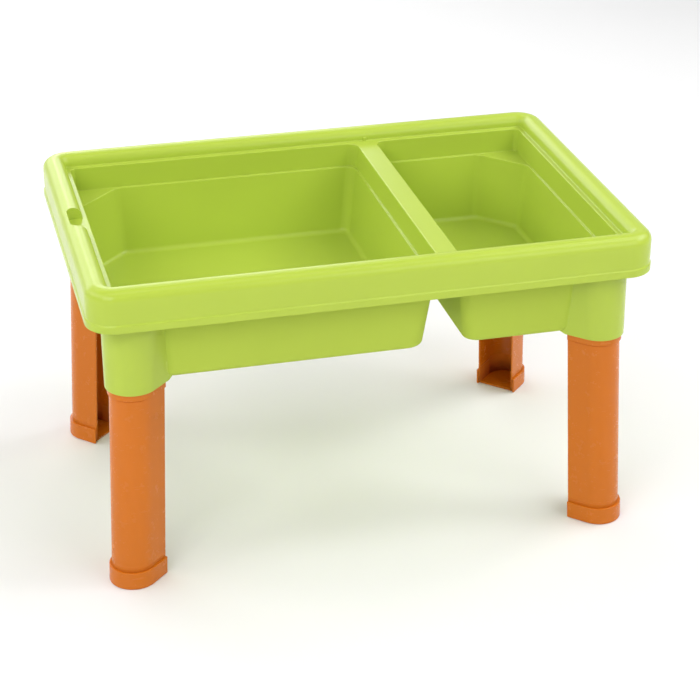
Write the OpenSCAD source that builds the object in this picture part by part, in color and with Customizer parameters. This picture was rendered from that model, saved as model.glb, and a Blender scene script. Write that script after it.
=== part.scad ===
// Sand and water table: one moulded tray with two basins, on four push-fit legs with shoes.
// Origin: on the floor under the middle of the table. +X runs along the long side, +Z is up.

/* [Table] */
// Length over the rim
table_l = 680; // [640:10:760]
// Width over the rim
table_w = 456; // [440:4:520]
// Height from the floor to the top of the rim
table_h = 399; // [390:1:430]
// Corner radius of the rim, seen from above
corner_r = 35; // [33:1:40]

/* [Rim] */
// Height of the downturned skirt, from its lower edge to the top of the rim
skirt_h = 50; // [46:1:56]
// Radius of the outer shoulder of the rim
shoulder_r = 13; // [10:1:14]
// Width of the flat on top of the rim
flat_w = 3; // [2:0.5:4]
// Radius of the inner shoulder of the rim
inner_r = 12; // [10:1:13]
// Height of the bead along the lower edge of the skirt
bead_h = 9; // [7:1:12]
// How far the bead stands out from the skirt
bead_out = 1.2; // [0.8:0.1:1.6]
// Depth of the lid seat below the top of the rim
seat_drop = 15; // [14:0.5:18]
// Width of the lid seat
seat_w = 6.3; // [5.6:0.1:8]
// Wall thickness of the tray
wall = 2.6; // [2.2:0.1:3]

/* [Basins] */
// Depth of the shelf below the top of the rim
shelf_drop = 46; // [44:1:48]
// Width of the shelf along the straight sides
shelf_w = 2.6; // [2:0.2:4]
// Depth of the basin floors below the top of the rim
floor_drop = 135; // [125:1:140]
// How far a basin wall leans in from the shelf to the floor
basin_draft = 11; // [9:1:12]
// Middle of the divider, measured from the middle of the table
divider_x = 90.6; // [60:0.2:110]
// Width of the flat top of the divider
divider_w = 27; // [24:1:32]
// Leg length of the cut-off outer corners of the basins, at shelf height
corner_cut = 53; // [50:1:56]
// Radius of the upright basin corners beside the divider
basin_corner_r = 13; // [8:1:16]
// Radius of the upright edges of the cut-off corners
cut_edge_r = 16; // [8:1:18]
// Radius between the basin walls and floors
floor_r = 7; // [6:1:12]

/* [Finger notch] */
// Length of the finger notch in the left side of the rim
notch_l = 56; // [44:2:64]
// Distance of the finger notch's outer wall from the rim's outermost face
notch_in = 9.5; // [9:0.5:12]
// Corner radius of the finger notch
notch_r = 11; // [7:1:12]

/* [Legs] */
// Distance of a leg's axis from the two table sides, at the floor
leg_inset = 41.3; // [41:0.1:46]
// Lean of the legs, outwards and down along the table's diagonal
lean = 3.5; // [2.5:0.1:4]
// Outer radius of a leg's closed end
leg_r = 27; // [25:0.5:28]
// Wall thickness of a leg
leg_wall = 2.6; // [2:0.2:3]
// Length of a leg's straight sides, from its axis to its open edges
leg_side = 28; // [24:0.5:28]
// Depth of a leg's tongue in its socket
tongue_h = 70; // [50:2:74]
// Length of the tongue's straight sides
tongue_side = 11; // [8:1:12]
// Height of the collar under the socket
collar_h = 8; // [6:1:10]
// How far the collar stands out from the leg
collar_out = 2.2; // [1.6:0.2:2.6]

/* [Shoes] */
// Height of a foot shoe
shoe_h = 22; // [18:1:26]
// Outer radius of a shoe's closed end
shoe_r = 30; // [29.6:0.1:30.4]
// Thickness of a shoe's floor
shoe_floor = 3; // [2.4:0.2:4]

/* [Hidden] */
$fn = 64;
tray_color = [0.70, 0.82, 0.29];
leg_color = [0.86, 0.46, 0.20];

// Heights
skirt_z = table_h - skirt_h;
seat_z = table_h - seat_drop;
shelf_z = table_h - shelf_drop;
floor_z = table_h - floor_drop;
socket_z = floor_z - 6.5;

// Distances inward from the outermost face of the rim
skirt_in = bead_out;
flat_in = skirt_in + shoulder_r;
rim_wall_in = flat_in + flat_w + inner_r;
seat_in = rim_wall_in + seat_w;
band_draft = 1.4;
shelf_in = seat_in + band_draft + shelf_w;

// Socket, round the leg's axis
socket_gap = 0.5;
socket_r = leg_r + 5;
socket_flare = 4;
socket_roof_z = shelf_z - 8;
toe_side = 9;
toe_angle = 22;
butt_gap = 0.3;
leg_top_z = socket_z - butt_gap;
shoe_fit = 0.01;
rib_z = 31;
rib_h = 2;
rib_out = 1.2;
past = 1;
smooth = 6;

// A point on an arc
function on_arc(cx, cy, r, a) = [cx + r * cos(a), cy + r * sin(a)];
function arc_points(cx, cy, r, a0, a1, n) = [for (k = [0 : n]) on_arc(cx, cy, r, a0 + (a1 - a0) * k / n)];

// Closed solid through rings of equal point counts, each ring [[x, y, z], ...] counterclockwise, lowest first
module loft(rings) {
    n = len(rings[0]);
    m = len(rings);
    points = [for (ring = rings) each ring];
    sides = [for (k = [0 : m - 2], i = [0 : n - 1])
        each [[k * n + i, (k + 1) * n + i, k * n + (i + 1) % n],
            [k * n + (i + 1) % n, (k + 1) * n + i, (k + 1) * n + (i + 1) % n]]];
    bottom = [for (i = [0 : n - 1]) i];
    top = [for (i = [n - 1 : -1 : 0]) (m - 1) * n + i];
    polyhedron(points, concat([bottom, top], sides), convexity = 6);
}

// Quarter of a basin ring's outer end: the two rounded edges of a cut corner at (x, y), in order from y to x
function cut_corner(x, y, cut, r) =
    let (sx = sign(x), sy = sign(y), reach = cut + r * tan(22.5), up = sy * 90, across = sx > 0 ? 0 : sy * 180)
    concat(arc_points(x - sx * reach, y - sy * r, r, up, (up + across) / 2, 3),
        arc_points(x - sx * r, y - sy * reach, r, (up + across) / 2, across, 3));

function reversed(list) = [for (i = [len(list) - 1 : -1 : 0]) list[i]];

// Ring round a basin: cut corners on its outer side, rounded corners beside the divider
function basin_ring(x_div, x_out, y, cut, edge_r, r, z) =
    let (s = sign(x_out - x_div),
        half = concat(cut_corner(x_out, y, cut, edge_r), reversed(cut_corner(x_out, -y, cut, edge_r)),
            arc_points(x_div + s * r, r - y, r, 270, s > 0 ? 180 : 360, smooth),
            arc_points(x_div + s * r, y - r, r, s > 0 ? 180 : 0, 90, smooth)))
    [for (p = s > 0 ? reversed(half) : half) [p[0], p[1], z]];

// Ring pushed outward by g from the basin's inner surface, at inset d from the shelf edge
function basin_at(s, d, g, cut, edge_r, z) =
    basin_ring(divider_x + s * (divider_w / 2 + band_draft + shelf_w + d - g),
        s * (table_l / 2 - shelf_in - d + g), table_w / 2 - shelf_in - d + g,
        cut - (2 - sqrt(2)) * (d - g), edge_r + g, basin_corner_r, z);

// Solid of one basin, grown by g on all sides: the cavity at g = 0, its outer skin at g = wall
module basin(s, g, top_z) {
    band_cut = 3;
    band_edge_r = 2;
    floor_rings = [for (k = [0 : smooth]) let (a = 90 * k / smooth)
        basin_at(s, basin_draft + floor_r * (1 - sin(a)), g, corner_cut, cut_edge_r,
            floor_z - g + floor_r * (1 - cos(a)))];
    loft(concat(floor_rings, [
        basin_at(s, 0, g, corner_cut, cut_edge_r, shelf_z - g - 0.01),
        basin_at(s, -shelf_w, g, band_cut, band_edge_r, shelf_z - g),
        basin_at(s, -shelf_w - band_draft, g, band_cut, band_edge_r, seat_z - (g > 0 ? past / 2 : 0)),
        basin_at(s, -shelf_w - band_draft, g, band_cut, band_edge_r, top_z)]));
}

// Cross-section of the rim and skirt: x is the distance inward, y the height
module rim_section(filled = false) {
    shoulder_z = table_h - shoulder_r;
    inner_z = table_h - inner_r;
    inner_in = flat_in + flat_w;
    outside = concat([[0, skirt_z], [0, skirt_z + bead_h], [skirt_in, skirt_z + bead_h + bead_out]],
        arc_points(flat_in, shoulder_z, shoulder_r, 180, 90, 2 * smooth),
        arc_points(inner_in, inner_z, inner_r, 90, 0, 2 * smooth),
        [[rim_wall_in, seat_z - wall], [rim_wall_in - wall, seat_z - wall]]);
    inside = concat(arc_points(inner_in, inner_z, inner_r - wall, 0, 90, 2 * smooth),
        arc_points(flat_in, shoulder_z, shoulder_r - wall, 90, 180, 2 * smooth),
        [[skirt_in + wall, skirt_z + bead_h + bead_out], [wall, skirt_z + bead_h], [wall, skirt_z]]);
    polygon(filled ? outside : concat(outside, inside));
}

// The rim section along one straight side
module rim_bar(half_length, filled = false) {
    rotate([90, 0, 90])
        linear_extrude(2 * half_length, center = true)
            rim_section(filled);
}

module rim() {
    for (s = [-1, 1]) {
        rotate(s < 0 ? 0 : 180)
            translate([0, -table_w / 2, 0])
                rim_bar(table_l / 2 - corner_r);
        rotate(s < 0 ? 270 : 90)
            translate([0, -table_l / 2, 0])
                rim_bar(table_w / 2 - corner_r);
        for (t = [-1, 1])
            translate([s * (table_l / 2 - corner_r), t * (table_w / 2 - corner_r), 0])
                rotate(t > 0 ? (s > 0 ? 0 : 90) : (s > 0 ? 270 : 180))
                    rotate_extrude(angle = 90)
                        translate([corner_r, 0])
                            mirror([1, 0])
                                rim_section();
    }
}

// Level frame that carries the lid seat, from under the rim to the basins
module seat_frame() {
    seat_corner = 6;
    translate([0, 0, seat_z - wall])
        linear_extrude(wall)
            rounded_rectangle(table_l - 2 * (rim_wall_in - wall), table_w - 2 * (rim_wall_in - wall), seat_corner);
}

module rounded_rectangle(l, w, r) {
    square([l - 2 * r, w], center = true);
    square([l, w - 2 * r], center = true);
    for (x = [-1, 1], y = [-1, 1])
        translate([x * (l / 2 - r), y * (w / 2 - r)])
            circle(r);
}

// Pocket for the fingertips in the rim's inner shoulder, grown by g
module notch_space(g) {
    pocket_w = 2 * (rim_wall_in - notch_in);
    height = g > 0 ? seat_drop - wall / 2 : seat_drop + past;
    translate([rim_wall_in - table_l / 2, 0, seat_z - g])
        linear_extrude(height)
            intersection() {
                rounded_rectangle(pocket_w + 2 * g, notch_l + 2 * g, notch_r + g);
                translate([-pocket_w / 2, 0])
                    square([pocket_w, 2 * notch_l], center = true);
            }
}

// Walls of the finger notch, within the rim's outline
module notch_walls() {
    intersection() {
        notch_space(wall);
        rotate(270)
            translate([0, -table_l / 2, 0])
                rim_bar(notch_l, true);
    }
}

// Lid catch on the rim's inner wall above each end of the divider
module lid_catch() {
    catch_w = 5;
    catch_h = 5;
    catch_out = 1.6;
    for (s = [-1, 1])
        translate([divider_x, s * (table_w / 2 - rim_wall_in), seat_z + catch_h / 2])
            cube([catch_w, 2 * catch_out, catch_h], center = true);
}

// Leg section in plan, round the leg's axis: closed end towards +X, sides running to -X
module leg_plan(r, side) {
    intersection() {
        union() {
            circle(r);
            translate([-2 * r, -r])
                square([2 * r, 2 * r]);
        }
        translate([-side, -r])
            square([side + r, 2 * r]);
    }
}

// Turns +X to the corner (sx, sy) and leans the child outwards and down from the leg's axis
module at_leg(sx, sy) {
    translate([sx * (table_l / 2 - leg_inset), sy * (table_w / 2 - leg_inset), 0])
        rotate(atan2(sy, sx))
            rotate([0, -lean, 0])
                children();
}

// Leaning column of a leg section, cut level at heights z0 and z1
module leaning(r, side, z0, z1) {
    reach = 200;
    intersection() {
        translate([0, 0, -reach / 2])
            linear_extrude(z1 + reach)
                leg_plan(r, side);
        rotate([0, lean, 0])
            translate([-reach / 2, -reach / 2, z0])
                cube([reach, reach, z1 - z0]);
    }
}

// Ring of a socket at height z, in the frame of the leg's foot: closed end towards +X
function socket_ring(r, side, z) =
    let (x = -tan(lean) * z)
    [for (p = concat(arc_points(x, 0, r, -90, 90, 3 * smooth), [[x - side, r], [x - side, -r]])) [p[0], p[1], z]];

// Distance from a leg's axis at height z to the outer skin of the basin's cut corner
function corner_side(z) =
    let (inset = basin_draft * (shelf_z - z) / (shelf_z - floor_z),
        corner = (table_l / 2 - shelf_in) + (table_w / 2 - shelf_in) - corner_cut,
        axis = (table_l / 2 - leg_inset) + (table_w / 2 - leg_inset))
    (axis - corner) / sqrt(2) - tan(lean) * z + inset - wall;

module socket(sx, sy, cavity) {
    low = cavity ? socket_z - past : socket_z;
    high = cavity ? socket_roof_z : shelf_z - wall / 2;
    r_low = cavity ? leg_r + socket_gap : socket_r;
    flare = cavity ? socket_flare - 1 : socket_flare;
    inward = cavity ? 0 : wall + toe_side;
    translate([sx * (table_l / 2 - leg_inset), sy * (table_w / 2 - leg_inset), 0])
        rotate(atan2(sy, sx))
            difference() {
                loft([socket_ring(r_low, corner_side(low) + inward, low),
                    socket_ring(r_low + flare, corner_side(high) + (cavity ? 0 : wall / 2), high)]);
                if (!cavity)
                    toe_cut();
            }
}

// Slopes the underside of a socket's side walls up to the underside of the basin
module toe_cut() {
    depth = 4 * wall;
    translate([-corner_side(socket_z) - tan(lean) * socket_z - 1, 0, socket_z])
        rotate([0, toe_angle, 0])
            translate([-2 * socket_r, -2 * socket_r, -depth])
                cube([2 * socket_r, 4 * socket_r, depth]);
}

module tray() color(tray_color) {
    difference() {
        union() {
            rim();
            seat_frame();
            notch_walls();
            lid_catch();
            for (s = [-1, 1])
                basin(s, wall, seat_z);
            for (sx = [-1, 1], sy = [-1, 1])
                socket(sx, sy, false);
        }
        for (s = [-1, 1])
            basin(s, 0, seat_z + past);
        for (sx = [-1, 1], sy = [-1, 1])
            socket(sx, sy, true);
        notch_space(0);
    }
}

module leg(sx, sy) color(leg_color) at_leg(sx, sy)
    difference() {
        union() {
            leaning(leg_r, leg_side, shoe_floor, leg_top_z);
            leaning(leg_r + collar_out, leg_side, leg_top_z - collar_h, leg_top_z);
            leaning(leg_r, tongue_side, leg_top_z - past, leg_top_z + tongue_h);
        }
        leaning(leg_r - leg_wall - rib_out, leg_side + past, 0, table_h);
        leaning(leg_r - leg_wall, leg_side + past, 0, rib_z);
        leaning(leg_r - leg_wall, leg_side + past, rib_z + rib_h, table_h);
    }

module foot(sx, sy) color(leg_color) at_leg(sx, sy) {
    floor_back = 3;
    difference() {
        leaning(shoe_r, leg_side, 0, shoe_h);
        leaning(leg_r + shoe_fit, leg_side + past, shoe_floor, shoe_h + past);
        translate([0, 0, -past])
            leaning_floor_cut(floor_back);
    }
}

// Clears the strip between the shoe's open edges in front of its floor
module leaning_floor_cut(back) {
    translate([-leg_side - back, -leg_r, -shoe_h])
        cube([2 * back, 2 * leg_r, 3 * shoe_h]);
}

tray();
leg(-1, -1);  // leg_front_left
leg(1, -1);  // leg_front_right
leg(-1, 1);  // leg_rear_left
leg(1, 1);  // leg_rear_right
foot(-1, -1);  // foot_front_left
foot(1, -1);  // foot_front_right
foot(-1, 1);  // foot_rear_left
foot(1, 1);  // foot_rear_right
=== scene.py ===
import math

import bmesh
import bpy
from mathutils import Matrix, Vector
from mathutils.geometry import tessellate_polygon


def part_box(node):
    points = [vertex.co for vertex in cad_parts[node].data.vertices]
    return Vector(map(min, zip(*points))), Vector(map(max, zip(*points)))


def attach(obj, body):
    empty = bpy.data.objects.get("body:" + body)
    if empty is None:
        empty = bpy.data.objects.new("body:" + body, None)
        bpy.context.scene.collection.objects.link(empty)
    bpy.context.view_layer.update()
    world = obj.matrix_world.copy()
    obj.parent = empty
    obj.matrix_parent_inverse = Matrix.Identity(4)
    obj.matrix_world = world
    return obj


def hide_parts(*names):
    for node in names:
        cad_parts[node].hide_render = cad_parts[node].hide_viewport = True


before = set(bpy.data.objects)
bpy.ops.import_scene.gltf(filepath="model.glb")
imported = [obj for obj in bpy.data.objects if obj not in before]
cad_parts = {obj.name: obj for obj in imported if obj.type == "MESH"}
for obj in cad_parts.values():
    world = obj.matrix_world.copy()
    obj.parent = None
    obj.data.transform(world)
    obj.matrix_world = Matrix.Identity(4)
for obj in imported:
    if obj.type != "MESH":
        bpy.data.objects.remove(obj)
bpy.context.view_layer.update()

# ---------------------------------------------------------------- sizes, in millimetres
MM = 0.001
tray_lo, tray_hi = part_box("tray")
TABLE_L = (tray_hi[0] - tray_lo[0]) / MM
TABLE_W = (tray_hi[1] - tray_lo[1]) / MM
TABLE_H = tray_hi[2] / MM
SOCKET_Z = tray_lo[2] / MM

# the rim: skirt, bead, shoulder, flat top and inner slope
WALL = 2.6
CORNER_R = 35.0
MIN_CORNER_R = 2.6
SKIRT_Z = TABLE_H - 50.0
BEAD_TOP = SKIRT_Z + 9.6
BEAD_OUT = 1.2
BEAD_STEP = 0.9
SHOULDER_R = 13.0
FLAT_W = 3.0
INNER_R = 12.0
BEND_R = 1.6
LIP_OUTER_R = 1.0
LIP_INNER_R = 0.8

# the lid seat, the band below it, the shelf, and the basins
SEAT_Z = TABLE_H - 15.0
SHELF_Z = TABLE_H - 46.0
FLOOR_Z = TABLE_H - 135.0
SEAT_W = 6.3
SEAT_LAP = 3.0           # the part of the seat that belongs to the rim's section
UNDER_LAP = 2.0
BAND_DRAFT = 1.4
SHELF_W = 2.6
BASIN_DRAFT = 11.0
DIVIDER_X = 90.6
DIVIDER_W = 27.0
CORNER_CUT = 53.0
BAND_CUT = 3.0
BAND_CUT_R = 2.0
BASIN_CORNER_R = 13.0
CUT_EDGE_R = 16.0
FLOOR_R = 7.0
UNDER_R = 9.6
INSIDE_RADII = (1.3, 1.1, 1.2, FLOOR_R)      # seat edge, band foot, shelf edge, floor
UNDERSIDE_RADII = (0.8, 0.5, 1.6, UNDER_R)

# the finger notch and the lid catches
NOTCH_L = 56.0
NOTCH_IN = 9.5
NOTCH_R = 11.0
NOTCH_ROUND = 1.1
CATCH_W = 5.0
CATCH_H = 5.0
CATCH_OUT = 1.6

RIM_WALL_IN = BEAD_OUT + SHOULDER_R + FLAT_W + INNER_R
SEAT_IN = RIM_WALL_IN + SEAT_W
SHELF_IN = SEAT_IN + BAND_DRAFT + SHELF_W
DIAGONAL = 2.0 - math.sqrt(2.0)

# the legs, their sockets and their shoes
LEG_INSET = 41.3
LEAN = math.tan(math.radians(3.5))
LEG_R = 27.0
LEG_WALL = 2.6
LEG_SIDE = 28.0
TONGUE_H = 70.0
TONGUE_SIDE = 11.0
TONGUE_TIP = 1.0
END_ROUND = 0.45         # rounding of a U section's free ends, as a part of its wall
COLLAR_H = 8.0
COLLAR_OUT = 2.2
GROOVE_H = 1.3
GROOVE_IN = 1.0
BUTT_GAP = 0.3
SOCKET_R = LEG_R + 5.0
SOCKET_FLARE = 4.0
SOCKET_GAP = 0.5
SOCKET_OUTER_EDGE = 0.9
SOCKET_INNER_EDGE = 0.5
SOCKET_ROOF_Z = SHELF_Z - 8.0
SOCKET_LEVEL = 4.0       # the sides' last stretch before the basin
TOE_START = 1.0
TOE_LENGTH = 10.5
TOE_LIFT = 4.4
END_DEPTH = WALL * 0.75  # how deep the sockets' ends sit in the basins' walls
SHOE_H = 22.0
SHOE_R = 30.0
SHOE_FLOOR = 3.0
SHOE_FIT = 0.05
SHOE_SIDE_IN = 3.6       # how much shorter the shoe's floor plate is than its band
RIB_Z = 31.0
RIB_H = 2.0
RIB_OUT = 1.2
RIB_SLOPE = 0.5
HAIR = 0.01              # keeps two faces from lying in one plane

# how finely round shapes are divided, and how strongly large faces rule the shading
ARC_STEPS = 28
RIM_CORNER_STEPS = 20
BASIN_CORNER_STEPS = 10
SECTION_STEPS = 10
BAND_STEPS = 6
NOTCH_STEPS = 12
SMALL_STEPS = 4
NORMAL_WEIGHT = 90

CORNERS = {"front_left": (-1, -1), "front_right": (1, -1),
           "rear_left": (-1, 1), "rear_right": (1, 1)}


# ---------------------------------------------------------------- outlines
def arc(cx, cy, r, a0, a1, n):
    """n + 1 points on an arc, angles in degrees."""
    angles = [math.radians(a0 + (a1 - a0) * k / n) for k in range(n + 1)]
    return [(cx + r * math.cos(a), cy + r * math.sin(a)) for a in angles]


def round_vertex(before, at, after, r, n):
    """n + 1 points of the fillet of radius r at a vertex of a polyline."""
    p0, p, p1 = Vector(before), Vector(at), Vector(after)
    u, v = (p0 - p).normalized(), (p1 - p).normalized()
    half = u.angle(v) / 2
    if r <= 0 or abs(half - math.pi / 2) < 1e-6:
        return [tuple(p)] * (n + 1)
    reach = r / math.tan(half)
    centre = p + (u + v).normalized() * (r / math.sin(half))
    start, end = p + u * reach - centre, p + v * reach - centre
    turn = start.angle(end)
    points = []
    for k in range(n + 1):
        t = k / n
        from_start = math.sin((1 - t) * turn) / math.sin(turn)
        from_end = math.sin(t * turn) / math.sin(turn)
        points.append(tuple(centre + (start * from_start + end * from_end)))
    return points


def rounded_path(vertices, n):
    """Open path through vertices (x, y, radius), with n + 1 points at each rounded one."""
    points = [vertices[0][:2]]
    for a, b, c in zip(vertices, vertices[1:], vertices[2:]):
        points += round_vertex(a[:2], b[:2], c[:2], b[2], n) if b[2] > 0 else [b[:2]]
    return points + [vertices[-1][:2]]


def rounded_polygon(vertices, n):
    """Closed outline through vertices (x, y, radius), n + 1 points at each."""
    m = len(vertices)
    points = []
    for k in range(m):
        a, b, c = vertices[k - 1], vertices[k], vertices[(k + 1) % m]
        points += round_vertex(a[:2], b[:2], c[:2], b[2], n) if b[2] > 0 else [b[:2]]
    return points


# ---------------------------------------------------------------- mesh building
class Solid:
    """A mesh built from rings of equal point counts, in millimetres."""

    def __init__(self):
        self.bm = bmesh.new()

    def ring(self, outline, z):
        """Ring of points in the level plane at height z."""
        return [self.bm.verts.new((x, y, z)) for x, y in outline]

    def skin(self, rings):
        """Closes the strips between each ring and the next."""
        for low, high in zip(rings, rings[1:]):
            for k in range(len(low)):
                j = (k + 1) % len(low)
                self.bm.faces.new((low[k], low[j], high[j], high[k]))

    def fill(self, outer, holes):
        """Closes a level face with holes in it."""
        loops = [outer, *holes]
        flat = [v for loop in loops for v in loop]
        for tri in tessellate_polygon([[v.co.copy() for v in loop] for loop in loops]):
            self.bm.faces.new([flat[k] for k in tri])

    def cap(self, ring):
        self.bm.faces.new(ring)

    def to_object(self, name, place=None):
        bmesh.ops.remove_doubles(self.bm, verts=self.bm.verts[:], dist=1e-4)
        bmesh.ops.recalc_face_normals(self.bm, faces=self.bm.faces[:])
        self.bm.transform(Matrix.Scale(MM, 4))
        if place is not None:
            self.bm.transform(place)
        mesh = bpy.data.meshes.new(name)
        self.bm.to_mesh(mesh)
        self.bm.free()
        obj = bpy.data.objects.new(name, mesh)
        bpy.context.scene.collection.objects.link(obj)
        return obj


def combine(obj, other, operation):
    """Boolean operation of obj with the other solid, which is used up."""
    mod = obj.modifiers.new("combine", "BOOLEAN")
    mod.operation = operation
    mod.solver = "EXACT"
    mod.object = other
    graph = bpy.context.evaluated_depsgraph_get()
    mesh = bpy.data.meshes.new_from_object(obj.evaluated_get(graph))
    obj.modifiers.remove(mod)
    old = obj.data
    obj.data = mesh
    mesh.name = obj.name
    bpy.data.meshes.remove(old)
    used = other.data
    bpy.data.objects.remove(other)
    bpy.data.meshes.remove(used)


def soften(obj, width, inside, angle=32.0, segments=3):
    """Rounds the edges sharper than angle whose middle lies inside a region."""
    bm = bmesh.new()
    bm.from_mesh(obj.data)
    bmesh.ops.remove_doubles(bm, verts=bm.verts[:], dist=1e-6)
    limit = math.radians(angle)
    chosen = []
    for e in bm.edges:
        if len(e.link_faces) == 2 and e.calc_face_angle(0.0) > limit:
            if inside((e.verts[0].co + e.verts[1].co) / (2 * MM)):
                chosen.append(e)
    bmesh.ops.bevel(bm, geom=chosen, offset=width * MM, segments=segments, profile=0.5,
                    affect="EDGES", clamp_overlap=True)
    bm.to_mesh(obj.data)
    bm.free()


def finish_surface(obj, material, body, nodes):
    """Shades the piece smooth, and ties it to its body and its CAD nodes."""
    for poly in obj.data.polygons:
        poly.use_smooth = True
    obj.data.materials.clear()
    obj.data.materials.append(material)
    weighted = obj.modifiers.new("weighted_normals", "WEIGHTED_NORMAL")
    weighted.mode = "FACE_AREA"
    weighted.weight = NORMAL_WEIGHT
    weighted.keep_sharp = True
    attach(obj, body)
    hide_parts(*nodes)


# ---------------------------------------------------------------- tray
def rim_outline(d):
    """The rim's plan outline at distance d inside the tray's outer wall."""
    r = max(CORNER_R - d, MIN_CORNER_R)
    x, y = TABLE_L / 2 - d, TABLE_W / 2 - d
    return rounded_polygon([(-x, -y, r), (x, -y, r), (x, y, r), (-x, y, r)], RIM_CORNER_STEPS)


def rim_path():
    """The rim's section from the seat over the rim, round the skirt's lip and back below."""
    return rounded_path([
        (RIM_WALL_IN + SEAT_LAP, SEAT_Z, 0),
        (RIM_WALL_IN, SEAT_Z, BEND_R),
        (RIM_WALL_IN, TABLE_H, INNER_R),
        (BEAD_OUT, TABLE_H, SHOULDER_R),
        (BEAD_OUT, BEAD_TOP + BEAD_STEP, BEND_R),
        (0.0, BEAD_TOP - BEAD_STEP, BEND_R),
        (0.0, SKIRT_Z, LIP_OUTER_R),
        (WALL, SKIRT_Z, LIP_INNER_R),
        (WALL, BEAD_TOP - BEAD_STEP, BEND_R),
        (BEAD_OUT + WALL, BEAD_TOP + BEAD_STEP, BEND_R),
        (BEAD_OUT + WALL, TABLE_H - WALL, SHOULDER_R - WALL),
        (RIM_WALL_IN - WALL, TABLE_H - WALL, INNER_R - WALL),
        (RIM_WALL_IN - WALL, SEAT_Z - WALL, LIP_INNER_R),
        (RIM_WALL_IN - WALL + UNDER_LAP, SEAT_Z - WALL, 0)], SECTION_STEPS)


def basin_outline(side, d, cut, corner_r, cut_r):
    """Outline of a basin at inset d from its shelf edge; side -1 is the large one, 1 the small.

    Its two outer corners are cut off by cut, with edges of radius cut_r.
    """
    x_div = DIVIDER_X + side * (DIVIDER_W / 2 + BAND_DRAFT + SHELF_W + d)
    x_out = side * (TABLE_L / 2 - SHELF_IN - d)
    y = TABLE_W / 2 - SHELF_IN - d
    cut = cut - DIAGONAL * d
    vertices = [(x_div, -y, corner_r), (x_out - side * cut, -y, cut_r), (x_out, cut - y, cut_r),
                (x_out, y - cut, cut_r), (x_out - side * cut, y, cut_r), (x_div, y, corner_r)]
    return rounded_polygon(vertices if side > 0 else vertices[::-1], BASIN_CORNER_STEPS)


def basin_rings(solid, side, grow, start_z, radii):
    """Rings of a basin's surface from the seat down to its floor, grown outward by grow.

    The band above the shelf and the bowl below it each have their own cut corners. The first
    point of each path only gives the first bend its direction, or starts at the seat.
    """
    seat_edge = -SHELF_W - BAND_DRAFT
    edge_r, inner_r, shelf_r, floor_r = radii
    shelf_z, floor_z = SHELF_Z - grow, FLOOR_Z - grow
    band = rounded_path([(seat_edge - 2.0, start_z, 0),
                         (seat_edge, start_z, edge_r),
                         (-SHELF_W, shelf_z, inner_r),
                         (0.0, shelf_z, 0)], BAND_STEPS)[:-1]
    bowl = rounded_path([(-SHELF_W - 2.0, shelf_z, 0),
                         (0.0, shelf_z, shelf_r),
                         (BASIN_DRAFT, floor_z, floor_r),
                         (BASIN_DRAFT + floor_r * 1.6, floor_z, 0)], SECTION_STEPS)[1:]
    corner = BASIN_CORNER_R + grow
    rings = []
    for path, cut, cut_r in ((band, BAND_CUT, BAND_CUT_R), (bowl, CORNER_CUT, CUT_EDGE_R)):
        for d, z in path:
            outline = basin_outline(side, d - grow, cut, corner, cut_r + grow)
            rings.append(solid.ring(outline, z))
    solid.skin(rings)
    return rings


def tray_shell():
    """The rim and both basins as one closed shell, without sockets, notch or catches."""
    solid = Solid()
    rim = [solid.ring(rim_outline(d), z) for d, z in rim_path()]
    solid.skin(rim)
    tops, unders = [], []
    for side in (-1, 1):
        inner = basin_rings(solid, side, 0.0, SEAT_Z, INSIDE_RADII)
        outer = basin_rings(solid, side, WALL, SEAT_Z - WALL, UNDERSIDE_RADII)
        solid.cap(inner[-1])
        solid.cap(outer[-1])
        tops.append(inner[0])
        unders.append(outer[0])
    solid.fill(rim[0], tops)
    solid.fill(rim[-1], unders)
    return solid.to_object("table_tray")


def at_corner(sx, sy):
    """Places a mesh whose +X points outward along the diagonal at a leg's foot."""
    foot = Vector((sx * (TABLE_L / 2 - LEG_INSET), sy * (TABLE_W / 2 - LEG_INSET), 0)) * MM
    return Matrix.Translation(foot) @ Matrix.Rotation(math.atan2(sy, sx), 4, "Z")


def corner_side(z):
    """Distance from a leg's axis at height z to the outer skin of the basin's cut corner."""
    inset = BASIN_DRAFT * (SHELF_Z - z) / (SHELF_Z - FLOOR_Z)
    corner = (TABLE_L / 2 - SHELF_IN) + (TABLE_W / 2 - SHELF_IN) - CORNER_CUT
    axis = (TABLE_L / 2 - LEG_INSET) + (TABLE_W / 2 - LEG_INSET)
    return (axis - corner) / math.sqrt(2) - LEAN * z + inset - WALL


def cup_outline(z, r, side):
    """Closed D-shaped outline round a leg's axis at height z, flat towards -X."""
    x = -LEAN * z
    return arc(x, 0, r, -90, 90, ARC_STEPS) + [(x - side, r), (x - side, -r)]


def socket_ring(solid, z, r, bend, side, lift=0.0):
    """Ring of a socket: its sides run level to bend, then on to side, where they are lifted."""
    x = -LEAN * z
    flat = arc(x, 0, r, -90, 90, ARC_STEPS) + [(x - bend, r)]
    ring = solid.ring(flat, z)
    ring += solid.ring([(x - side, r), (x - side, -r)], z + lift)
    return ring + solid.ring([(x - bend, -r)], z)


def in_wall(z):
    """How far past the basin's outer skin a socket's end reaches at height z.

    The end stays inside the basin's wall and, lower down, inside the round to its floor.
    """
    r = FLOOR_R + WALL - END_DEPTH
    below = max(FLOOR_Z + FLOOR_R - z, 0.0)
    return END_DEPTH + r - math.sqrt(max(r * r - below * below, 0.0))


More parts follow.
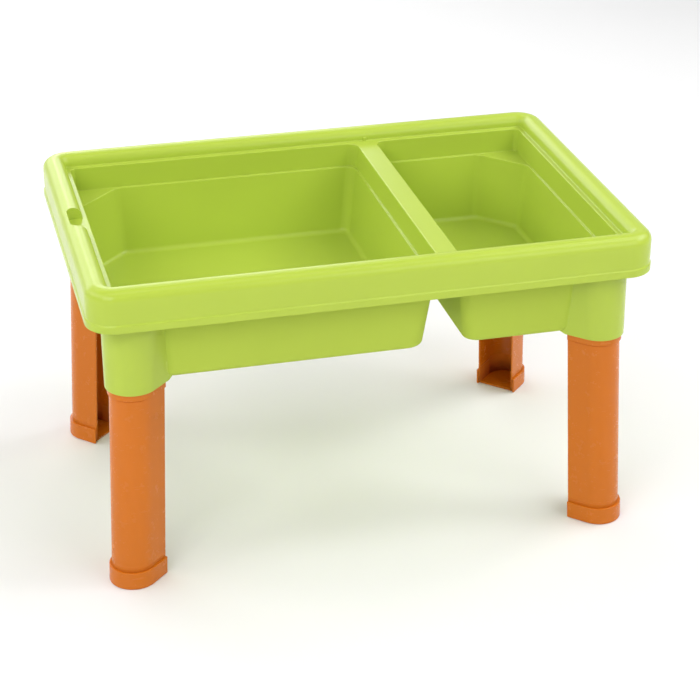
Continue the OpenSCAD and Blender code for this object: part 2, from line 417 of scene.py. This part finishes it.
def socket_solid():
    """A leg's socket: a flared D-shaped sleeve with a sloped toe and a closed roof."""
    solid = Solid()
    high = SHELF_Z - WALL / 2
    toe = corner_side(SOCKET_Z) + TOE_START
    toe_end = toe + TOE_LENGTH

    def outer_r(z):
        return SOCKET_R + SOCKET_FLARE * (z - SOCKET_Z) / (high - SOCKET_Z)

    def inner_r(z):
        return LEG_R + SOCKET_GAP + (SOCKET_FLARE - 1) * (z - SOCKET_Z) / (high - SOCKET_Z)

    outer = []
    for k in range(6):
        a = math.pi / 2 * k / 5
        z = SOCKET_Z + SOCKET_OUTER_EDGE * (1 - math.cos(a))
        r = outer_r(z) - SOCKET_OUTER_EDGE * (1 - math.sin(a))
        outer.append(socket_ring(solid, z, r, toe, toe_end, TOE_LIFT))
    # close rings round the toe follow the basin's floor, and close rings at the top
    # keep the shading of the shelf out of the sleeve
    heights = [FLOOR_Z + up for up in (-0.6, 1.0, 3.0, FLOOR_R, 25.0, 50.0)]
    heights += [high - down for down in (8.0, 3.0, 0.0)]
    for z in heights:
        side = corner_side(z)
        outer.append(socket_ring(solid, z, outer_r(z), side - SOCKET_LEVEL, side + in_wall(z)))
    inner = []
    for k in range(4):
        a = math.pi / 2 * k / 3
        z = SOCKET_Z + SOCKET_INNER_EDGE * (1 - math.cos(a))
        side = corner_side(z) - HAIR
        r = inner_r(z) + SOCKET_INNER_EDGE * (1 - math.sin(a))
        inner.append(socket_ring(solid, z, r, side - SOCKET_LEVEL, side))
    z = SOCKET_ROOF_Z
    side = corner_side(z) - HAIR
    inner.append(socket_ring(solid, z, inner_r(z), side - SOCKET_LEVEL, side))
    solid.skin(outer)
    solid.skin(inner)
    solid.skin([outer[0], inner[0]])
    solid.cap(outer[-1])
    solid.cap(inner[-1])
    return solid


def notch_outline(grow):
    """Plan outline of the finger notch in the left side, grown outward by grow."""
    x_wall = TABLE_L / 2 - RIM_WALL_IN
    x_out = TABLE_L / 2 - NOTCH_IN + grow
    y = NOTCH_L / 2 + grow
    x_in = x_wall - (1.2 if grow > 0 else SEAT_W * 0.5)
    r = NOTCH_R + grow
    vertices = [(-x_in, y, 0), (-x_out, y, r), (-x_out, -y, r), (-x_in, -y, 0)]
    return rounded_polygon(vertices, NOTCH_STEPS)


def block(outline, z0, z1):
    """Upright prism over an outline."""
    solid = Solid()
    rings = [solid.ring(outline, z0), solid.ring(outline, z1)]
    solid.skin(rings)
    solid.cap(rings[0])
    solid.cap(rings[1])
    return solid


def filled_rim():
    """The rim's section filled in and drawn in by inset, along the middle of the left side."""
    solid = Solid()
    inset = 0.4
    d_in, d_out = RIM_WALL_IN - inset, BEAD_OUT + inset
    top, low = TABLE_H - inset, SEAT_Z - WALL - 1.0
    path = rounded_path([(d_in, low, 0), (d_in, top, INNER_R),
                         (d_out, top, SHOULDER_R), (d_out, low, 0)], NOTCH_STEPS)
    ends = [[solid.bm.verts.new((d - TABLE_L / 2, y, z)) for d, z in path]
            for y in (-NOTCH_L, NOTCH_L)]
    solid.skin(ends)
    solid.cap(ends[0])
    solid.cap(ends[1])
    return solid


def catch_solid(x, y, way):
    """Small rounded lug on the rim's inner wall; way is the direction it stands out along Y."""
    solid = Solid()
    foot_r, top_r = 0.6, 1.2
    rows = [(-1.0, 0.0), (0.0, 0.0), (0.6, 0.0), (0.9, 0.35), (1.0, 0.9)]
    rings = []
    for share, inset in rows:
        out = CATCH_OUT * share
        half, low, high = CATCH_W / 2 - inset, 2 * HAIR, CATCH_H - inset
        outline = rounded_polygon([(-half, low, foot_r), (half, low, foot_r),
                                   (half, high, top_r), (-half, high, top_r)], SMALL_STEPS)
        rings.append([solid.bm.verts.new((x + u, y + way * out, SEAT_Z + v)) for u, v in outline])
    solid.skin(rings)
    solid.cap(rings[0])
    solid.cap(rings[-1])
    return solid


def in_notch(p):
    """Whether a point is in or just round the finger notch."""
    across = p.x < RIM_WALL_IN + 1.0 - TABLE_L / 2
    along = abs(p.y) < NOTCH_L / 2 + 4.0
    return across and along and p.z > SEAT_Z - 0.5


def make_tray():
    """The whole tray: shell, sockets, finger notch and lid catches."""
    tray = tray_shell()
    for sx, sy in CORNERS.values():
        combine(tray, socket_solid().to_object("socket", at_corner(sx, sy)), "UNION")
    walls = block(notch_outline(WALL), SEAT_Z - WALL + 2 * HAIR, TABLE_H - 1.0)
    walls = walls.to_object("walls")
    combine(walls, filled_rim().to_object("rim_part"), "INTERSECT")
    combine(tray, walls, "UNION")
    void = block(notch_outline(0.0), SEAT_Z + HAIR, TABLE_H + 2.0)
    combine(tray, void.to_object("void"), "DIFFERENCE")
    soften(tray, NOTCH_ROUND, in_notch)
    for way in (-1, 1):
        lug = catch_solid(DIVIDER_X, -way * (TABLE_W / 2 - RIM_WALL_IN), way)
        combine(tray, lug.to_object("catch"), "UNION")
    return tray


# ---------------------------------------------------------------- legs and shoes
def u_outline(z, r_out, r_in, side):
    """Closed outline of a U section at height z, open towards -X, with rounded free ends."""
    x = -LEAN * z
    end = x - side
    r = (r_out - r_in) * END_ROUND
    n = SMALL_STEPS
    loop = round_vertex((x, -r_out), (end, -r_out), (end, -r_in), r, n)[::-1]
    loop += arc(x, 0, r_out, -90, 90, ARC_STEPS)
    loop += round_vertex((x, r_out), (end, r_out), (end, r_in), r, n)
    loop += round_vertex((end, r_out), (end, r_in), (x, r_in), r, n)
    loop += arc(x, 0, r_in, 90, -90, ARC_STEPS)
    loop += round_vertex((end, -r_out), (end, -r_in), (x, -r_in), r, n)[::-1]
    return loop


def leg_solid():
    """A leg from its shoe's floor up: rib, groove, collar and tongue, on a leaning axis."""
    solid = Solid()
    r_in = LEG_R - LEG_WALL
    top = SOCKET_Z - BUTT_GAP
    tip = top + TONGUE_H
    rib_top = RIB_Z + RIB_H
    under = top - COLLAR_H
    groove = under - GROOVE_H
    collar = rounded_path([(0.0, groove - 2.0, 0), (0.0, groove, 0.4),
                           (-GROOVE_IN, groove, 0.2), (-GROOVE_IN, under, 0.2),
                           (COLLAR_OUT, under, 0.5), (COLLAR_OUT, top, 0.7),
                           (0.8, top, 0)], SMALL_STEPS)
    rows = [(SHOE_FLOOR, LEG_R, r_in, LEG_SIDE),
            (RIB_Z - RIB_SLOPE, LEG_R, r_in, LEG_SIDE),
            (RIB_Z, LEG_R, r_in - RIB_OUT, LEG_SIDE),
            (rib_top, LEG_R, r_in - RIB_OUT, LEG_SIDE),
            (rib_top + RIB_SLOPE, LEG_R, r_in, LEG_SIDE)]
    rows += [(z, LEG_R + out, r_in, LEG_SIDE) for out, z in collar]
    rows += [(top, LEG_R, r_in, TONGUE_SIDE),
             (tip - TONGUE_TIP, LEG_R, r_in, TONGUE_SIDE),
             (tip, LEG_R - 0.7, r_in + 0.4, TONGUE_SIDE - 0.5)]
    rings = [solid.ring(u_outline(z, r_out, r_i, side), z) for z, r_out, r_i, side in rows]
    solid.skin(rings)
    solid.cap(rings[0])
    solid.cap(rings[-1])
    return solid


def make_shoe(name, place):
    """A leg's shoe: a U-shaped band round the leg's foot, closed by a floor plate."""
    solid = Solid()
    r_in = LEG_R + SHOE_FIT
    foot_in = 1.2
    path = rounded_path([(-foot_in, 0.0, 0), (0.0, 0.0, 1.1),
                         (0.0, SHOE_H, 0.9), (-1.0, SHOE_H, 0)], 5)
    rings = []
    for out, z in path:
        outline = u_outline(z, SHOE_R + out, r_in + 0.02 * (foot_in + out), LEG_SIDE + out * 0.3)
        rings.append(solid.ring(outline, z))
    solid.skin(rings)
    solid.cap(rings[0])
    solid.cap(rings[-1])
    shoe = solid.to_object("band", place)
    plate = Solid()
    side = LEG_SIDE - SHOE_SIDE_IN
    rows = [(2 * HAIR, 0.3), (0.4, 0.6), (SHOE_FLOOR - 0.5, 0.6), (SHOE_FLOOR, 0.1)]
    rings = [plate.ring(cup_outline(z, r_in + out, side + out), z) for z, out in rows]
    plate.skin(rings)
    plate.cap(rings[0])
    plate.cap(rings[-1])
    combine(shoe, plate.to_object("plate", place), "UNION")
    shoe.name = name
    return shoe


# ---------------------------------------------------------------- materials
GREEN = (0.432, 0.552, 0.064, 1.0)
GREEN_WORN = (0.480, 0.610, 0.120, 1.0)
ORANGE = (0.600, 0.158, 0.0075, 1.0)
ORANGE_WORN = (0.610, 0.220, 0.050, 1.0)
PLASTIC_IOR = 1.49
SPECULAR_LEVEL = 0.30
SUBSURFACE_RADIUS = (1.0, 0.8, 0.3)
SUBSURFACE_SCALE = 0.004

# scales of the noise patterns, per metre, and how much each pattern shows
CLOUD_SCALE, CLOUD_DEPTH = 9.0, 0.015
SPECKLE_SCALE, SPECKLE_DEPTH = 420.0, 0.04
HANDLING_SCALE = 60.0
EDGE_WEAR, EDGE_ROUGHNESS = 0.03, 0.2
MARK_STRETCH, MARK_TURN = (14.0, 420.0, 420.0), (0.3, 0.2, 0.5)
MARK_ROUGHNESS, MARK_HEIGHT = 0.02, -0.12
GRAIN_SCALE, GRAIN_HEIGHT = 1500.0, 0.6
SINK_SCALE = 16.0
BUMP_STRENGTH = 0.10
GRAIN_BUMP, SINK_BUMP = 0.00005, 0.0004      # metres

# the drafted outer walls and the undersides, which face down, are moulded matt
MATT_FROM, MATT_TO = -0.075, -0.115          # Z of the surface normal
MATT_ROUGHNESS = 0.65


class Tree:
    """A material's node tree, with a shorthand for each kind of node used here."""

    def __init__(self, name):
        self.material = bpy.data.materials.new(name)
        self.material.use_nodes = True
        self.tree = self.material.node_tree
        self.tree.nodes.clear()

    def node(self, kind, **settings):
        made = self.tree.nodes.new(kind)
        for key, value in settings.items():
            setattr(made, key, value)
        return made

    def put(self, socket, value):
        """Links another node's output to an input, or gives the input a fixed value."""
        if isinstance(value, bpy.types.NodeSocket):
            self.tree.links.new(value, socket)
        else:
            socket.default_value = value

    def fill(self, node, **values):
        for key, value in values.items():
            self.put(node.inputs[key.replace("_", " ")], value)

    def shader(self, **values):
        """The Principled shader of the material, linked to its output."""
        made = self.node("ShaderNodeBsdfPrincipled")
        self.fill(made, **values)
        out = self.node("ShaderNodeOutputMaterial")
        self.put(out.inputs["Surface"], made.outputs["BSDF"])
        return made

    def mapping(self, vector, **values):
        made = self.node("ShaderNodeMapping", vector_type="POINT")
        self.fill(made, Vector=vector, **values)
        return made.outputs["Vector"]

    def noise(self, **values):
        made = self.node("ShaderNodeTexNoise")
        self.fill(made, **values)
        return made.outputs["Fac"]

    def spread(self, value, lo, hi, to_lo, to_hi):
        """Maps lo..hi onto to_lo..to_hi, and holds the ends."""
        made = self.node("ShaderNodeMapRange")
        self.fill(made, Value=value, From_Min=lo, From_Max=hi, To_Min=to_lo, To_Max=to_hi)
        return made.outputs["Result"]

    def mix(self, factor, a, b):
        """Colour a where factor is 0, colour b where it is 1."""
        made = self.node("ShaderNodeMix", data_type="RGBA")
        for index, value in ((0, factor), (6, a), (7, b)):
            self.put(made.inputs[index], value)
        return made.outputs[2]

    def calc(self, operation, a, b):
        made = self.node("ShaderNodeMath", operation=operation)
        self.put(made.inputs[0], a)
        self.put(made.inputs[1], b)
        return made.outputs[0]

    def bump(self, **values):
        made = self.node("ShaderNodeBump")
        self.fill(made, **values)
        return made.outputs["Normal"]


def plastic(name, base, worn, roughness, subsurface, seed):
    """Moulded plastic with a faint cloud, speckles, rubbed edges, grain, marks and sinks."""
    t = Tree(name)
    shader = t.shader(IOR=PLASTIC_IOR, Specular_IOR_Level=SPECULAR_LEVEL,
                      Subsurface_Weight=subsurface, Subsurface_Radius=SUBSURFACE_RADIUS,
                      Subsurface_Scale=SUBSURFACE_SCALE)
    coords = t.node("ShaderNodeTexCoord").outputs["Object"]
    geometry = t.node("ShaderNodeNewGeometry")
    place = t.mapping(coords, Location=(seed, seed * 0.37, -seed * 0.21))
    handling = t.noise(Vector=place, Scale=HANDLING_SCALE, Detail=5.0, Roughness=0.65)

    cloud = t.noise(Vector=place, Scale=CLOUD_SCALE, Detail=3.0)
    darker = tuple(c * (1.0 - CLOUD_DEPTH) for c in base[:3]) + (1.0,)
    lighter = tuple(c * (1.0 + CLOUD_DEPTH) for c in base[:3]) + (1.0,)
    colour = t.mix(t.spread(cloud, 0.3, 0.7, 0.0, 1.0), darker, lighter)
    speckle = t.noise(Vector=place, Scale=SPECKLE_SCALE, Detail=2.0)
    colour = t.mix(t.spread(speckle, 0.62, 0.8, 0.0, SPECKLE_DEPTH), colour, worn)
    edge = t.spread(geometry.outputs["Pointiness"], 0.51, 0.58, 0.0, 1.0)
    edge = t.calc("MULTIPLY", edge, t.spread(handling, 0.42, 0.7, 0.0, EDGE_WEAR))
    colour = t.mix(edge, colour, worn)
    t.put(shader.inputs["Base Color"], colour)

    stretched = t.mapping(coords, Scale=MARK_STRETCH, Rotation=MARK_TURN)
    marks = t.spread(t.noise(Vector=stretched, Scale=1.0, Detail=3.0), 0.62, 0.72, 0.0, 1.0)
    facing = t.node("ShaderNodeSeparateXYZ")
    t.put(facing.inputs["Vector"], geometry.outputs["Normal"])
    under = t.spread(facing.outputs["Z"], MATT_TO, MATT_FROM, 1.0, 0.0)
    rough = t.spread(handling, 0.3, 0.7, roughness - 0.015, roughness + 0.02)
    for cause, gain in ((under, MATT_ROUGHNESS), (marks, MARK_ROUGHNESS), (edge, EDGE_ROUGHNESS)):
        rough = t.calc("ADD", rough, t.calc("MULTIPLY", cause, gain))
    t.put(shader.inputs["Roughness"], rough)

    grain = t.noise(Vector=place, Scale=GRAIN_SCALE, Detail=2.0, Roughness=0.6)
    height = t.calc("ADD", t.calc("MULTIPLY", grain, GRAIN_HEIGHT),
                    t.calc("MULTIPLY", marks, MARK_HEIGHT))
    sinks = t.bump(Strength=BUMP_STRENGTH, Distance=SINK_BUMP,
                   Height=t.noise(Vector=place, Scale=SINK_SCALE, Detail=2.0))
    t.put(shader.inputs["Normal"], t.bump(Strength=BUMP_STRENGTH, Distance=GRAIN_BUMP,
                                          Height=height, Normal=sinks))
    return t.material


green = plastic("tray_polypropylene", GREEN, GREEN_WORN, 0.23, 0.06, 3.1)
orange = plastic("leg_polypropylene", ORANGE, ORANGE_WORN, 0.26, 0.05, 7.7)

# ---------------------------------------------------------------- the object
tray = make_tray()
finish_surface(tray, green, "table_top", ["tray"])
for corner, (sx, sy) in CORNERS.items():
    place = at_corner(sx, sy)
    leg = leg_solid().to_object("moulded_leg_" + corner, place)
    finish_surface(leg, orange, "leg_" + corner, ["leg_" + corner])
    shoe = make_shoe("shoe_" + corner, place)
    finish_surface(shoe, orange, "leg_" + corner, ["foot_" + corner])


# ---------------------------------------------------------------- floor, lights and camera
FLOOR_GREYS = (0.84, 0.86)
FLOOR_RADIUS = 3.0
FLOOR_DROP = 0.0004

# world: white up to FADE_LOW degrees above the horizon, then dimming until FADE_HIGH
HORIZON, OVERHEAD = 1.0, 0.05
FADE_LOW, FADE_HIGH = 1.0, 8.0

# azimuth from +Y towards +X and elevation in degrees, distance, width, height, radiance
SOFTBOXES = {
    "back_left_softbox": (-62, 21, 3.0, 2.4, 1.3, 1.5),
    "back_softbox": (-22, 21, 3.0, 2.2, 1.3, 2.6),
    "back_narrow_softbox": (6, 21, 3.0, 1.0, 1.3, 2.4),
    "back_right_softbox": (35, 21, 3.0, 1.8, 1.3, 0.5),
    "back_high_softbox": (-15, 52, 2.8, 3.0, 1.2, 1.3),
    "top_strip": (180, 76, 2.5, 2.6, 0.45, 2.8),
    "front_left_softbox": (215, 32, 3.0, 1.8, 1.6, 4.2),
    "front_right_softbox": (150, 32, 3.0, 1.8, 1.6, 2.6),
    "left_softbox": (-92, 36, 2.9, 2.2, 1.3, 2.7),
    "right_softbox": (92, 36, 2.9, 2.2, 1.3, 3.0),
    "right_high_softbox": (90, 52, 2.8, 2.0, 1.6, 2.8),
}
AIM = Vector((0.0, 0.0, 0.3))

CAMERA_PLACE = (-0.54672, -2.16847, 1.32299)
CAMERA_YAW, CAMERA_PITCH, CAMERA_ROLL = 14.64, -27.10, 0.21      # degrees
CAMERA_LENS, CAMERA_SENSOR = 100.14, 36.0


def floor_material():
    t = Tree("studio_floor")
    dark, light = ((grey, grey, grey, 1.0) for grey in FLOOR_GREYS)
    t.shader(Base_Color=t.mix(t.noise(Scale=3.0), dark, light), Roughness=0.9,
             Specular_IOR_Level=0.1)
    return t.material


def make_floor():
    mesh = bpy.data.meshes.new("studio_floor")
    bm = bmesh.new()
    bmesh.ops.create_circle(bm, cap_ends=True, segments=96, radius=FLOOR_RADIUS)
    bm.to_mesh(mesh)
    bm.free()
    floor = bpy.data.objects.new("studio_floor", mesh)
    floor.location = (0, 0, -FLOOR_DROP)
    bpy.context.scene.collection.objects.link(floor)
    mesh.materials.append(floor_material())


def direction(azimuth, elevation):
    """Unit vector; azimuth is measured from +Y towards +X, both in degrees."""
    a, e = math.radians(azimuth), math.radians(elevation)
    return Vector((math.sin(a) * math.cos(e), math.cos(a) * math.cos(e), math.sin(e)))


def softbox(name, azimuth, elevation, distance, width, height, radiance):
    """Area light on a sphere round the table, turned to face it."""
    data = bpy.data.lights.new(name, "AREA")
    data.shape = "RECTANGLE"
    data.size = width
    data.size_y = height
    data.energy = radiance * math.pi * width * height
    way = direction(azimuth, elevation)
    light = bpy.data.objects.new(name, data)
    light.location = AIM + way * distance
    light.rotation_euler = (-way).to_track_quat("-Z", "Y").to_euler()
    bpy.context.scene.collection.objects.link(light)


def make_world():
    """Even white below and just above the horizon, dimming to a dark overhead."""
    world = bpy.data.worlds.new("studio")
    bpy.context.scene.world = world
    world.use_nodes = True
    nodes, links = world.node_tree.nodes, world.node_tree.links
    coords = nodes.new("ShaderNodeTexCoord")
    split = nodes.new("ShaderNodeSeparateXYZ")
    fade = nodes.new("ShaderNodeMapRange")
    fade.interpolation_type = "SMOOTHSTEP"
    fade.inputs["From Min"].default_value = math.sin(math.radians(FADE_LOW))
    fade.inputs["From Max"].default_value = math.sin(math.radians(FADE_HIGH))
    fade.inputs["To Min"].default_value = HORIZON
    fade.inputs["To Max"].default_value = OVERHEAD
    links.new(coords.outputs["Generated"], split.inputs["Vector"])
    links.new(split.outputs["Z"], fade.inputs["Value"])
    links.new(fade.outputs["Result"], nodes["Background"].inputs["Strength"])
    nodes["Background"].inputs["Color"].default_value = (1.0, 1.0, 1.0, 1.0)


def make_camera():
    """Camera in front of the table and to its left, looking down at it."""
    yaw, roll = math.radians(CAMERA_YAW), math.radians(CAMERA_ROLL)
    forward = direction(CAMERA_YAW, CAMERA_PITCH)
    level = Vector((math.cos(yaw), -math.sin(yaw), 0))
    upright = level.cross(forward)
    right = level * math.cos(roll) + upright * math.sin(roll)
    up = upright * math.cos(roll) - level * math.sin(roll)
    data = bpy.data.cameras.new("camera")
    data.sensor_width = CAMERA_SENSOR
    data.lens = CAMERA_LENS
    data.clip_start = 0.05
    camera = bpy.data.objects.new("camera", data)
    turn = Matrix((right, up, -forward)).transposed().to_4x4()
    camera.matrix_world = Matrix.Translation(CAMERA_PLACE) @ turn
    bpy.context.scene.collection.objects.link(camera)
    bpy.context.scene.camera = camera


make_floor()
make_world()
for name, values in SOFTBOXES.items():
    softbox(name, *values)
make_camera()
bpy.context.scene.view_settings.view_transform = "Standard"
